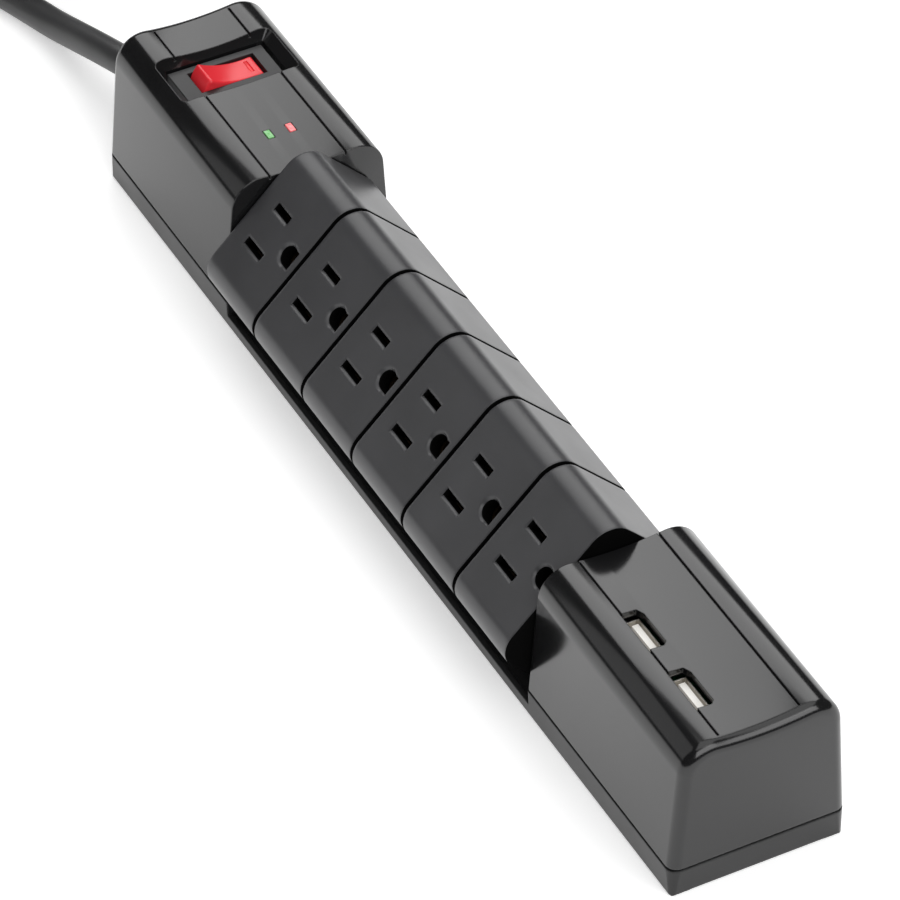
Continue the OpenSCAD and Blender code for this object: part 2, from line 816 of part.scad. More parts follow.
// Tube swept through a list of points by rings of n corners
function ring_dir(p, i) = let (a = p[max(i - 1, 0)], b = p[min(i + 1, len(p) - 1)]) (b - a) / norm(b - a);
function ring_side(d) = cross([0, 0, 1], d) / norm(cross([0, 0, 1], d));
function ring(p, i, r, n) = let (d = ring_dir(p, i), s = ring_side(d), u = cross(d, s))
    [for (k = [0 : n - 1]) p[i] + r * (cos(360 * k / n) * s + sin(360 * k / n) * u)];

module tube(p, r, n) {
    m = len(p);
    polyhedron(
        points = [for (i = [0 : m - 1]) each ring(p, i, r, n)],
        faces = concat([[for (k = [n - 1 : -1 : 0]) k]],
            [for (i = [0 : m - 2], k = [0 : n - 1])
                [i * n + k, i * n + (k + 1) % n, (i + 1) * n + (k + 1) % n, (i + 1) * n + k]],
            [[for (k = [0 : n - 1]) (m - 1) * n + k]]));
}

module cord_run() {
    color("#1a1a1a") translate([-end_x, 0, 0]) tube(route, cord_d / 2 - tube_fit, 10);
}

module cord_hank() {
    color("#1a1a1a") translate([hank_x - end_x, hank_y, 0]) linear_extrude(hank_h) {
        circle(hank_r + cord_d / 2);
        translate([-hank_run, 0]) circle(hank_r + cord_d / 2);
        translate([-hank_run, -hank_r - cord_d / 2]) square([hank_run, 2 * hank_r + cord_d]);
    }
}

module cord_tail() {
    color("#1a1a1a") translate([-end_x, 0, 0]) tube(tail_route, cord_d / 2 - tube_fit, 10);
}

// Flat band round the middle of the hank
module cord_tie() {
    half = hank_r + cord_d / 2 + cord_clear;
    top = tail_z + cord_d / 2 + cord_clear;
    color("#101010") translate([tie_x - end_x, hank_y, 0]) difference() {
        translate([-tie_w / 2, -half - tie_t, 0]) cube([tie_w, 2 * (half + tie_t), top + tie_t]);
        translate([-tie_w, -half, -1]) cube([2 * tie_w, 2 * half, top + 1]);
    }
}

module plug_body() {
    color("#161616") translate([plug_x - end_x, plug_y, plug_z]) {
        translate([-plug_boot - plug_l, -plug_w / 2, -plug_h / 2]) cube([plug_l, plug_w, plug_h]);
        rotate([0, -90, 0]) cylinder(r1 = plug_neck_r, r2 = plug_boot_r, h = plug_boot + eps);
    }
}

module plug_blades() {
    color("#c8b98a") translate([plug_x - end_x - plug_boot - plug_l, plug_y, plug_z]) {
        for (s = [-1, 1]) translate([-pin_blade_l, (s * blade_pitch - pin_blade_t) / 2, pin_blade_z])
            cube([pin_blade_l, pin_blade_t, pin_blade_w]);
        translate([0, 0, pin_ground_z]) rotate([0, -90, 0]) cylinder(r = pin_ground_r, h = pin_ground_l);
    }
}

base_tray();
switch_cover();
usb_cover();
switch_bezel();
rocker();
switch_body();
switch_terminals();
protected_lens();
grounded_lens();
indicator_board();
surge_board();
varistors();
usb_power_board();
usb_port_board();
usb_shells();
usb_tongues();
usb_contacts();
outlet_face(1);  // outlet_1_face
outlet_back(1);  // outlet_1_back
outlet_contacts(1);  // outlet_1_contacts
outlet_face(2);  // outlet_2_face
outlet_back(2);  // outlet_2_back
outlet_contacts(2);  // outlet_2_contacts
outlet_face(3);  // outlet_3_face
outlet_back(3);  // outlet_3_back
outlet_contacts(3);  // outlet_3_contacts
outlet_face(4);  // outlet_4_face
outlet_back(4);  // outlet_4_back
outlet_contacts(4);  // outlet_4_contacts
outlet_face(5);  // outlet_5_face
outlet_back(5);  // outlet_5_back
outlet_contacts(5);  // outlet_5_contacts
outlet_face(6);  // outlet_6_face
outlet_back(6);  // outlet_6_back
outlet_contacts(6);  // outlet_6_contacts
axis_wires();
housing_screws();
strain_relief();
cord_run();
cord_hank();
cord_tail();
cord_tie();
plug_body();
plug_blades();
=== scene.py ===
"""Looks of a power strip with six turning outlets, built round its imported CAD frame.

Lengths are in metres. The part's own sizes, and the points, cutters and outlines that are worked
out from them, are in millimetres and become metres where they are multiplied by MM.
"""

import math

import bmesh
import bpy
from mathutils import Matrix, Vector


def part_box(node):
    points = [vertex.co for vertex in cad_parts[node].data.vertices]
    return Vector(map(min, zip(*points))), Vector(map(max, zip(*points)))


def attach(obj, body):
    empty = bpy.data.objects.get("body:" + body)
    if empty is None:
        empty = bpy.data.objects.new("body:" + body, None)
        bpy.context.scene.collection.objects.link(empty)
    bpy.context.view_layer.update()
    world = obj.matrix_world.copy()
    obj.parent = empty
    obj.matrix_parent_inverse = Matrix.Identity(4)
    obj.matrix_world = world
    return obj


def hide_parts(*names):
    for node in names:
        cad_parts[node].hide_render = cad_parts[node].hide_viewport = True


MM = 0.001

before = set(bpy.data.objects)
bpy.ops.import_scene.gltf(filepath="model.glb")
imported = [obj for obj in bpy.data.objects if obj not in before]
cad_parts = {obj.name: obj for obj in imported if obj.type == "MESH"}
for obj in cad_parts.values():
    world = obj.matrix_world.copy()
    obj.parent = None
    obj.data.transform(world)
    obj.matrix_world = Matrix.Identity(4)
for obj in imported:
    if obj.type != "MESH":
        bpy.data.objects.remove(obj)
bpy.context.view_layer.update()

# ---------------------------------------- the part's sizes in millimetres, as in its source

BODY_W, BODY_H, PARTING_Z = 51.4, 49, 8.6
END_X, INNER_X = 163.5, 87.8
DRAFT = math.radians(3.9)
SHOULDER_R, DIP, END_R, WALL = 9, 1, 3.2, 2.2
GROOVE_Y, GROOVE_W, GROOVE_D = 11.7, 0.6, 0.5
BOSS_R, SCREW_Y, SCREW_IN, SCREW_FROM_INNER = 3.4, 16.6, 10.5, 20

# The outlets turn about an axis at this height and rest at this angle
AXIS_Z, REST_TURN = 22.1, math.radians(45)
HUB_R, BORE_R, HUB_FIT, SPIGOT_L = 9, 6.5, 0.08, 3.2
FACE_D = BODY_H - DIP - AXIS_Z
LEAD_IN = 0.7

SWITCH_FROM_END, LENS_FROM_INNER = 26, 17.1
SWITCH_X = -END_X + SWITCH_FROM_END
RECESS_LEN, RECESS_W, RECESS_D = 20, 38, 3.4
RECESS_SLOPE, RECESS_SIDE = 1.6, 3.7
RECESS_Z = BODY_H - RECESS_D
LEDGE_T, WELL_WALL = 2, 2.4
ROCKER_R, ROCKER_HALF_L, ROCKER_LOW = 9.95, 4.5, 1.5
ROCKER_TILT = math.radians(11)
PIVOT_DROP, PIN_R, PIN_HALF_L = 4, 1, 5.7
LENS_X, LENS_Y = -INNER_X - LENS_FROM_INNER, 3.35
WINDOW_HALF_L, WINDOW_HALF_W = 1.95, 1.1

PORT_FROM_END, PORT_PITCH = 21.6, 24.2
PORT_XS = (END_X - PORT_FROM_END - PORT_PITCH, END_X - PORT_FROM_END)
POCKET_L, POCKET_W, POCKET_Y, POCKET_CUT = 14.8, 5.9, -9.1, 2.2
PORT_POST_R, PORT_POST_Z, PORT_POST_YS = 2, 32.5, (-9.6, 5.4)

# ---------------------------------------- camera

CAMERA_AZIMUTH = math.radians(61.82)  # turn about Z from looking along +Y
CAMERA_ELEVATION = math.radians(41.62)
CAMERA_ROLL = math.radians(0.4)
CAMERA_DISTANCE = 1.7663
CAMERA_AIM = Vector((-0.01085, 0.00371, 0.00257))
CAMERA_LENS = 260
CAMERA_SENSOR = 36


def make_camera():
    cos_e = math.cos(CAMERA_ELEVATION)
    back = Vector(
        (
            math.sin(CAMERA_AZIMUTH) * cos_e,
            -math.cos(CAMERA_AZIMUTH) * cos_e,
            math.sin(CAMERA_ELEVATION),
        )
    )
    level = Vector((math.cos(CAMERA_AZIMUTH), math.sin(CAMERA_AZIMUTH), 0))
    upright = back.cross(level)
    right = math.cos(CAMERA_ROLL) * level + math.sin(CAMERA_ROLL) * upright
    up = math.cos(CAMERA_ROLL) * upright - math.sin(CAMERA_ROLL) * level
    data = bpy.data.cameras.new("camera")
    data.lens = CAMERA_LENS
    data.sensor_width = CAMERA_SENSOR
    data.clip_end = 50
    camera = bpy.data.objects.new("camera", data)
    bpy.context.scene.collection.objects.link(camera)
    camera.matrix_world = Matrix.Translation(CAMERA_AIM + CAMERA_DISTANCE * back) @ (
        Matrix((right, up, back)).transposed().to_4x4()
    )
    bpy.context.scene.camera = camera


make_camera()

# ---------------------------------------- the cord's route, as in the part's source

CORD_D = 9 * MM
EXIT_MM = (-END_X, -3, 20)
EXIT = Vector(EXIT_MM) * MM
CORD_HOLE_R = 6.2
ROUTE_MM = [
    (-187, -7.1, 16.2),
    (-194, -8.4, 15),
    (-205, -10, 12.2),
    (-216, -11.3, 8.9),
    (-226, -12.8, 6.3),
    (-236, -15, 5),
    (-246, -18, 4.6),
    (-256, -21.4, 4.6),
]
HANK_R = 27 * MM
HANK_X = -277.5 * MM
HANK_Y = 4 * MM
HANK_RUN = 173 * MM
LAYER_H = 9.2 * MM
LAYERS = 3
FIRST_Z = 4.6 * MM
TAIL_MM = [
    (-280, -23, 32.3),
    (-300, -23, 32.3),
    (-320, -22, 32.3),
    (-340, -19, 33.3),
    (-360, -14.5, 36.3),
    (-380, -12, 38.3),
    (-396, -11, 39.6),
]
TIE_X = -310 * MM


def smooth_step(t):
    t = min(max(t, 0), 1)
    return t * t * (3 - 2 * t)


def hank_points():
    """The loops of the hank. Each climbs one layer in the first two thirds of its near fold."""
    points = []
    folds, run_steps = 16, 6
    climb_share = 0.66
    for layer in range(LAYERS):
        z = FIRST_Z + layer * LAYER_H
        for i in range(run_steps + 1):
            points.append(Vector((HANK_X - HANK_RUN * i / run_steps, HANK_Y - HANK_R, z)))
        for i in range(1, folds):
            a = math.pi * i / folds
            points.append(
                Vector((HANK_X - HANK_RUN - HANK_R * math.sin(a), HANK_Y - HANK_R * math.cos(a), z))
            )
        for i in range(run_steps + 1):
            points.append(
                Vector((HANK_X - HANK_RUN + HANK_RUN * i / run_steps, HANK_Y + HANK_R, z))
            )
        for i in range(1, folds):
            t = i / folds
            a = math.pi * t
            lift = LAYER_H * smooth_step(t / climb_share)
            points.append(
                Vector((HANK_X + HANK_R * math.sin(a), HANK_Y + HANK_R * math.cos(a), z + lift))
            )
    return points


def smooth_line(points, steps=4):
    """Points along a Catmull-Rom curve through the given ones."""
    line = []
    for i in range(len(points) - 1):
        p0, p1 = points[max(i - 1, 0)], points[i]
        p2, p3 = points[i + 1], points[min(i + 2, len(points) - 1)]
        for k in range(steps):
            t = k / steps
            line.append(
                0.5
                * (
                    2 * p1
                    + (p2 - p0) * t
                    + (2 * p0 - 5 * p1 + 4 * p2 - p3) * t * t
                    + (3 * p1 - p0 - 3 * p2 + p3) * t**3
                )
            )
    line.append(points[-1])
    return line


def make_cord():
    route = [EXIT] + [Vector(p) * MM for p in ROUTE_MM]
    tail = [Vector(p) * MM for p in TAIL_MM]
    line = smooth_line(route + hank_points() + tail)
    data = bpy.data.curves.new("cord", "CURVE")
    data.dimensions = "3D"
    data.bevel_depth = CORD_D / 2
    data.bevel_resolution = 6
    data.use_fill_caps = True
    spline = data.splines.new("POLY")
    spline.points.add(len(line) - 1)
    for point, p in zip(spline.points, line):
        point.co = (*p, 1)
    spline.use_smooth = True
    cord = bpy.data.objects.new("cord", data)
    bpy.context.scene.collection.objects.link(cord)
    return cord


# ---------------------------------------- materials


class Nodes:
    """A material's nodes, added and joined by short calls."""

    def __init__(self, material):
        self.material = material
        material.use_nodes = True
        self.tree = material.node_tree
        self.shader = self.tree.nodes["Principled BSDF"]
        coordinates = self.add("ShaderNodeTexCoord")
        self.place = coordinates.outputs["Object"]
        self.facing = coordinates.outputs["Normal"]

    def add(self, kind, **values):
        node = self.tree.nodes.new(kind)
        for key, value in values.items():
            setattr(node, key, value)
        return node

    def join(self, out, socket):
        self.tree.links.new(out, socket)

    def noise(self, size, detail=2.0, roughness=0.5, stretch=(1, 1, 1)):
        """Noise whose features are about this size in metres."""
        mapping = self.add("ShaderNodeMapping")
        mapping.inputs["Scale"].default_value = stretch
        self.join(self.place, mapping.inputs["Vector"])
        node = self.add("ShaderNodeTexNoise")
        node.inputs["Scale"].default_value = 1 / size
        node.inputs["Detail"].default_value = detail
        node.inputs["Roughness"].default_value = roughness
        self.join(mapping.outputs["Vector"], node.inputs["Vector"])
        return node.outputs["Fac"]

    def span(self, value, low, high, start=0.3, end=0.7):
        node = self.add("ShaderNodeMapRange")
        node.inputs["From Min"].default_value = start
        node.inputs["From Max"].default_value = end
        node.inputs["To Min"].default_value = low
        node.inputs["To Max"].default_value = high
        self.join(value, node.inputs["Value"])
        return node.outputs["Result"]

    def reckon(self, operation, *values):
        """Result of one operation on numbers and on what other nodes give."""
        node = self.add("ShaderNodeMath", operation=operation)
        for socket, value in zip(node.inputs, values):
            if isinstance(value, (int, float)):
                socket.default_value = value
            else:
                self.join(value, socket)
        return node.outputs["Value"]

    def reach(self, vector, direction):
        """How far a vector reaches in a direction."""
        node = self.add("ShaderNodeVectorMath", operation="DOT_PRODUCT")
        self.join(vector, node.inputs[0])
        node.inputs[1].default_value = direction
        return node.outputs["Value"]

    def swap(self, name, colour, mask):
        """Puts a colour in place of what feeds one of the shader's sockets, where the mask is 1."""
        socket = self.shader.inputs[name]
        node = self.add("ShaderNodeMix", data_type="RGBA")
        self.join(socket.links[0].from_socket, node.inputs["A"])
        node.inputs["B"].default_value = (*colour, 1)
        self.join(mask, node.inputs["Factor"])
        self.join(node.outputs[2], socket)

    def tint(self, value, dark, light):
        node = self.add("ShaderNodeMix", data_type="RGBA")
        node.inputs["A"].default_value = (*dark, 1)
        node.inputs["B"].default_value = (*light, 1)
        self.join(value, node.inputs["Factor"])
        return node.outputs[2]

    def bump(self, height, depth, below=None):
        node = self.add("ShaderNodeBump")
        node.inputs["Distance"].default_value = depth
        node.inputs["Strength"].default_value = 1
        self.join(height, node.inputs["Height"])
        if below is not None:
            self.join(below, node.inputs["Normal"])
        return node.outputs["Normal"]

    def soft_edge(self, radius):
        node = self.add("ShaderNodeBevel", samples=4)
        node.inputs["Radius"].default_value = radius
        return node.outputs["Normal"]


def plastic(
    name,
    colour,
    roughness,
    grain=0.3 * MM,
    depth=0.006 * MM,
    edge=0.35 * MM,
    vary=0.12,
    ior=1.5,
    glow=0,
):
    """Moulded plastic: a fine grain, faint flow clouds in colour and gloss, and softened edges.
    Glow, where given, is painted light: an even glow in the plastic's own colour.
    """
    n = Nodes(bpy.data.materials.new(name))
    clouds = n.noise(22 * MM, 3)
    fine = n.noise(grain, 2)
    wear = n.noise(14 * MM, 2, 0.4)
    dark = [c * (1 - vary) for c in colour]
    light = [c * (1 + vary) for c in colour]
    n.join(n.tint(n.span(clouds, 0, 1), dark, light), n.shader.inputs["Base Color"])
    n.join(n.span(wear, roughness * 0.93, roughness * 1.07), n.shader.inputs["Roughness"])
    edges = n.soft_edge(edge) if edge else None
    n.join(n.bump(fine, depth, edges), n.shader.inputs["Normal"])
    n.shader.inputs["IOR"].default_value = ior
    n.shader.inputs["Emission Color"].default_value = (*colour, 1)
    n.shader.inputs["Emission Strength"].default_value = glow
    return n.material


def paint_outlet_shade(material, shade, rough):
    """Painted shade: near-black colour, rough and with little gloss, on an outlet's end faces,
    where the gaps between outlets are in shade, and inside its openings, where shade falls.
    """
    n = Nodes(material)
    lowest, half_width = 0.5 * MM, 12 * MM
    sin_turn, cos_turn = math.sin(REST_TURN), math.cos(REST_TURN)
    axis = AXIS_Z * MM
    height = n.reckon("SUBTRACT", n.reach(n.place, (0, -sin_turn, cos_turn)), axis * cos_turn)
    off_middle = n.reckon("SUBTRACT", n.reach(n.place, (0, cos_turn, sin_turn)), axis * sin_turn)
    below_face = n.reckon("LESS_THAN", height, (FACE_D - LEAD_IN) * MM)
    above_axis = n.reckon("GREATER_THAN", height, lowest)
    near_middle = n.reckon("LESS_THAN", n.reckon("ABSOLUTE", off_middle), half_width)
    inside = n.reckon("MULTIPLY", n.reckon("MULTIPLY", below_face, above_axis), near_middle)
    end = n.reckon("GREATER_THAN", n.reckon("ABSOLUTE", n.reach(n.facing, (1, 0, 0))), 0.9)
    # Painted shade: where this mask is 1 the colour is near black, as the shade in the gaps and
    # openings would make it
    painted_shade_mask = n.reckon("MAXIMUM", inside, end)
    n.swap("Base Color", shade, painted_shade_mask)
    n.swap("Roughness", (rough, rough, rough), painted_shade_mask)
    gloss = n.reckon("SUBTRACT", 0.5, n.reckon("MULTIPLY", painted_shade_mask, 0.45))
    n.join(gloss, n.shader.inputs["Specular IOR Level"])


def metal(name, colour, roughness, streak=(1, 1, 1)):
    """Metal with fine rolling marks and faint tarnish."""
    n = Nodes(bpy.data.materials.new(name))
    spots = n.noise(3 * MM, 4, 0.6)
    marks = n.noise(0.5 * MM, 2, 0.5, streak)
    tarnished = [c * 0.85 for c in colour]
    n.join(n.tint(n.span(spots, 0, 1), tarnished, colour), n.shader.inputs["Base Color"])
    n.join(n.span(marks, roughness * 0.75, roughness * 1.3), n.shader.inputs["Roughness"])
    n.join(n.bump(marks, 0.004 * MM, n.soft_edge(0.12 * MM)), n.shader.inputs["Normal"])
    n.shader.inputs["Metallic"].default_value = 1
    return n.material


def lens(name, colour, glow):
    """Tinted window with the soft glow of the light behind it."""
    n = Nodes(bpy.data.materials.new(name))
    cells = n.noise(1.2 * MM, 2)
    pale = [c + (1 - c) * 0.3 for c in colour]
    n.join(n.tint(n.span(cells, 0, 1), colour, pale), n.shader.inputs["Base Color"])
    n.join(n.span(cells, 0.22, 0.34), n.shader.inputs["Roughness"])
    n.join(n.bump(n.noise(0.4 * MM), 0.004 * MM, n.soft_edge(0.15 * MM)), n.shader.inputs["Normal"])
    n.shader.inputs["Emission Color"].default_value = (*colour, 1)
    n.shader.inputs["Emission Strength"].default_value = glow
    return n.material


def board(name):
    """Fibreglass board with patches of copper and its weave showing under green lacquer."""
    n = Nodes(bpy.data.materials.new(name))
    weave = n.noise(0.8 * MM, 1)
    copper = n.noise(4 * MM, 0)
    colour = n.tint(n.span(copper, 0, 1, 0.48, 0.5), (0.006, 0.09, 0.03), (0.02, 0.16, 0.06))
    n.join(colour, n.shader.inputs["Base Color"])
    n.join(n.span(weave, 0.28, 0.4), n.shader.inputs["Roughness"])
    n.join(n.bump(weave, 0.01 * MM), n.shader.inputs["Normal"])
    return n.material


COVER = plastic(
    "cover_plastic", (0.010, 0.010, 0.0105), 0.15, depth=0.0008 * MM, edge=0.4 * MM, ior=1.58
)
TRAY = plastic(
    "tray_plastic", (0.022, 0.022, 0.0225), 0.34, depth=0.002 * MM, edge=0.9 * MM, ior=1.42
)
OUTLET = plastic("outlet_plastic", (0.052, 0.052, 0.055), 0.30, depth=0.003 * MM, edge=1.1 * MM)
# Painted shade on the outlets' end faces and inside their openings
paint_outlet_shade(OUTLET, (0.002, 0.002, 0.002), 0.8)
INSIDE = plastic("dark_plastic", (0.006, 0.006, 0.0065), 0.45)
BEZEL = plastic("bezel_plastic", (0.016, 0.016, 0.017), 0.4, grain=0.5 * MM, depth=0.012 * MM)
# The rocker's glow is painted light: an even glow that brightens its red
RED = plastic(
    "red_rocker",
    (0.84, 0.032, 0.045),
    0.24,
    grain=0.6 * MM,
    depth=0.002 * MM,
    edge=0.45 * MM,
    vary=0.08,
    glow=0.06,
)
# The mark's glow is painted light: an even glow that brightens its red
RED_MARK = plastic(
    "red_mark",
    (0.95, 0.10, 0.11),
    0.3,
    grain=0.6 * MM,
    depth=0.002 * MM,
    edge=0.1 * MM,
    vary=0.08,
    glow=0.2,
)
GREEN_LENS = lens("green_lens", (0.09, 0.45, 0.08), 0.2)
RED_LENS = lens("red_lens", (0.86, 0.12, 0.13), 0.46)
BOARD = board("circuit_board")
VARISTOR = plastic(
    "varistor_coat", (0.03, 0.12, 0.42), 0.35, grain=0.8 * MM, depth=0.02 * MM, edge=0.8 * MM
)
BRASS = metal("brass", (0.80, 0.60, 0.30), 0.28, streak=(1, 1, 12))
# The contacts' bronze is darkened as painted shade, for the shade deep inside the outlets' openings
SHADED_BRONZE = metal("bronze_painted_shade", (0.10, 0.065, 0.035), 0.5, streak=(1, 1, 12))
NICKEL = metal("nickel_shell", (0.66, 0.63, 0.58), 0.26, streak=(8, 8, 1))
# The tongues' glow is painted light, lifting them out of the shade of their pockets
WHITE = plastic(
    "white_plastic",
    (0.80, 0.78, 0.74),
    0.35,
    grain=0.4 * MM,
    depth=0.004 * MM,
    edge=0.25 * MM,
    vary=0.03,
    glow=0.2,
)
JACKET = plastic(
    "wire_jacket", (0.70, 0.70, 0.68), 0.4, grain=0.5 * MM, depth=0.01 * MM, edge=None, vary=0.04
)
STEEL = metal("screw_steel", (0.42, 0.42, 0.43), 0.34)
RUBBER = plastic(
    "cord_rubber", (0.022, 0.022, 0.023), 0.48, grain=0.5 * MM, depth=0.02 * MM, edge=0.4 * MM
)
CORD = plastic(
    "cord_jacket", (0.044, 0.044, 0.045), 0.42, grain=0.7 * MM, depth=0.018 * MM, edge=None
)
TIE = plastic(
    "tie_strap", (0.012, 0.012, 0.012), 0.75, grain=0.5 * MM, depth=0.09 * MM, edge=None
)

FINISH = {
    "base_tray": TRAY,
    "switch_cover": COVER,
    "usb_cover": COVER,
    "switch_bezel": BEZEL,
    "rocker": RED,
    "switch_body": INSIDE,
    "switch_terminals": BRASS,
    "protected_lens": GREEN_LENS,
    "grounded_lens": RED_LENS,
    "indicator_board": BOARD,
    "surge_board": BOARD,
    "varistors": VARISTOR,
    "usb_power_board": BOARD,
    "usb_port_board": BOARD,
    "usb_shells": NICKEL,
    "usb_tongues": WHITE,
    "usb_contacts": BRASS,
    "axis_wires": JACKET,
    "housing_screws": STEEL,
    "strain_relief": RUBBER,
    "cord_tie": TIE,
    "plug_body": RUBBER,
    "plug_blades": BRASS,
}
OUTLET_FINISH = {"face": OUTLET, "back": OUTLET, "contacts": SHADED_BRONZE}


def finish_of(node):
    if node.startswith("outlet_"):
        return OUTLET_FINISH[node.split("_")[2]]
    return FINISH.get(node)


for node_name, node_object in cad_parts.items():
    finish = finish_of(node_name)
    if finish:
        for slot in node_object.material_slots:
            slot.material = finish

# ---------------------------------------- helpers for the pieces


def mesh_object(name, bm, material):
    """Object in the scene from a bmesh, with smooth shading."""
    data = bpy.data.meshes.new(name)
    bmesh.ops.recalc_face_normals(bm, faces=bm.faces)
    bm.to_mesh(data)
    bm.free()
    for polygon in data.polygons:
        polygon.use_smooth = True
    piece = bpy.data.objects.new(name, data)
    bpy.context.scene.collection.objects.link(piece)
    data.materials.append(material)
    return piece


def add_bevel(piece, width, segments, angle):
    """Rounds the edges that are sharper than an angle."""
    modifier = piece.modifiers.new("edges", "BEVEL")
    modifier.width = width
    modifier.segments = segments
    modifier.limit_method = "ANGLE"
    modifier.angle_limit = math.radians(angle)


def keep_sharp(data, angle):
    """Smooth shading, but for the edges that are sharper than an angle."""
    for polygon in data.polygons:
        polygon.use_smooth = True
    data.set_sharp_from_angle(angle=math.radians(angle))


def bridge(bm, rows):
    """Joins each closed row of corners with the next one."""
    for a, b in zip(rows, rows[1:]):
        for i in range(len(a)):
            j = (i + 1) % len(a)
            bm.faces.new((a[i], a[j], b[j], b[i]))


def loft(bm, rings):
    """Joins closed rings of points, as many in each, and closes both ends."""
    rows = [[bm.verts.new(p) for p in ring] for ring in rings]
    bridge(bm, rows)
    bm.faces.new(rows[0])
    bm.faces.new(rows[-1])


def add_solid(piece, bm, sharp):
    """Adds a closed solid to a piece that stays a solid of its own in the mesh."""
    bm.from_mesh(piece.data)
    bmesh.ops.recalc_face_normals(bm, faces=bm.faces)
    bm.to_mesh(piece.data)
    bm.free()
    keep_sharp(piece.data, sharp)


def quarter_round(radius, steps):
    """Steps round an edge, as pairs: how far behind the end, and how far drawn inward."""
    turns = [math.pi / 2 * i / steps for i in range(steps + 1)]
    return [(radius * (1 - math.sin(a)), radius * (1 - math.cos(a))) for a in turns]


def ripple(count, t):
    """Rises from 0 to 1 and falls back this many times while t goes from 0 to 1."""
    return 0.5 - 0.5 * math.cos(2 * math.pi * count * t)


def oval(width, height, power, count=40):
    """Points of a rounded rectangle: power 2 is an ellipse, more is squarer."""
    points = []
    for i in range(count):
        a = 2 * math.pi * i / count
        c, s = math.cos(a), math.sin(a)
        points.append(
            (
                math.copysign(abs(c) ** (2 / power), c) * width / 2,
                math.copysign(abs(s) ** (2 / power), s) * height / 2,
            )
        )
    return points


def circle(radius, count=48):
    """Points of a circle as pairs."""
    return [
        (radius * math.cos(2 * math.pi * i / count), radius * math.sin(2 * math.pi * i / count))
        for i in range(count)
    ]


def rounded(length, width, r, steps=6):
    """Points of a rectangle, given by half its length and width, with corners of radius r."""
    points = []
    for i, (a, b) in enumerate(((1, 1), (-1, 1), (-1, -1), (1, -1))):
        for k in range(steps + 1):
            turn = math.pi / 2 * (i + k / steps)
            points.append(
                (a * (length - r) + r * math.cos(turn), b * (width - r) + r * math.sin(turn))
            )
    return points


def cutter(rings):
    """Solid that is only cut away from a piece, from rings of points in millimetres."""
    bm = bmesh.new()
    loft(bm, [[Vector(p) * MM for p in ring] for ring in rings])
    return mesh_object("cutter", bm, INSIDE)


def block(low, high):
    """Cutter with flat sides between two corners."""
    (x0, y0, z0), (x1, y1, z1) = low, high
    corners = ((y0, z0), (y1, z0), (y1, z1), (y0, z1))
    return cutter([[(x, y, z) for y, z in corners] for x in (x0, x1)])


def bar(x0, x1, y, z, radius):
    """Round cutter along the strip."""
    return cutter([[(x, y + a, z + b) for a, b in circle(radius)] for x in (x0, x1)])


def post(x, y, z0, z1, radius):
    """Round upright cutter."""
    return cutter([[(x + a, y + b, z) for a, b in circle(radius, 32)] for z in (z0, z1)])


def carve(piece, cutters, sharp):
    """Cuts the cutters away for good and keeps the edges that are sharper than an angle."""
    for tool in cutters:
        modifier = piece.modifiers.new("cut", "BOOLEAN")
        modifier.object = tool
        modifier.operation = "DIFFERENCE"
        modifier.solver = "EXACT"
    bpy.context.view_layer.update()
    graph = bpy.context.evaluated_depsgraph_get()
    carved = bpy.data.meshes.new_from_object(piece.evaluated_get(graph))
    whole = piece.data
    piece.modifiers.clear()
    piece.data = carved
    carved.name = piece.name
    bpy.data.meshes.remove(whole)
    for tool in cutters:
        data = tool.data
        bpy.data.objects.remove(tool)
        bpy.data.meshes.remove(data)
    keep_sharp(carved, sharp)


# ---------------------------------------- covers, their outer ends rounded all the way over

COVER_SHARP = 24  # degrees between faces from which a cover's edge stays sharp
COVER_FOOT = PARTING_Z + 0.8  # leaves the dark line above the tray
INNER_EDGE_R = 0.35
OVERCUT = 1  # how far a cutter reaches past the surface that it cuts
THROUGH_Z = 38  # where cuts through the roof end, in the room below it
SHOULDER_Z = BODY_H - SHOULDER_R
SHOULDER_Y = (
    BODY_W / 2 - (SHOULDER_R + (SHOULDER_Z - PARTING_Z) * math.sin(DRAFT)) / math.cos(DRAFT)
)
VALLEY_REACH = (SHOULDER_Y**2 + DIP**2) / (2 * DIP)
VALLEY_R = VALLEY_REACH - SHOULDER_R
VALLEY_Z = BODY_H - DIP + VALLEY_R
VALLEY_LEAN = math.asin(SHOULDER_Y / VALLEY_REACH)


def cover_ring(x, inset, foot=COVER_FOOT):
    """Outline of a cover at a place along the strip, drawn inward by inset."""
    r = SHOULDER_R - inset
    foot_y = SHOULDER_Y + r / math.cos(DRAFT) + (SHOULDER_Z - foot) * math.tan(DRAFT)
    half = [(foot_y, foot)]
    shoulder_steps, valley_steps = 26, 10
    for i in range(shoulder_steps + 1):
        a = DRAFT + (math.pi / 2 + VALLEY_LEAN - DRAFT) * i / shoulder_steps
        half.append((SHOULDER_Y + r * math.cos(a), SHOULDER_Z + r * math.sin(a)))
    r = VALLEY_R + inset
    for i in range(1, valley_steps + 1):
        a = VALLEY_LEAN * (1 - i / valley_steps)
        half.append((r * math.sin(a), VALLEY_Z - r * math.cos(a)))
    half += [(-y, z) for y, z in reversed(half[:-1])]
    return [(x, y, z) for y, z in half]


def cover_body(name, side):
    """Solid cover at one end of the strip (side 1 or -1) with its edges rounded."""
    rings = [(INNER_X + back, inset) for back, inset in quarter_round(INNER_EDGE_R, 3)[::-1]]
    rings += [(END_X - back, inset) for back, inset in quarter_round(END_R, 10)]
    bm = bmesh.new()
    loft(bm, [[Vector(p) * MM for p in cover_ring(side * x, inset)] for x, inset in rings])
    return mesh_object(name, bm, COVER)


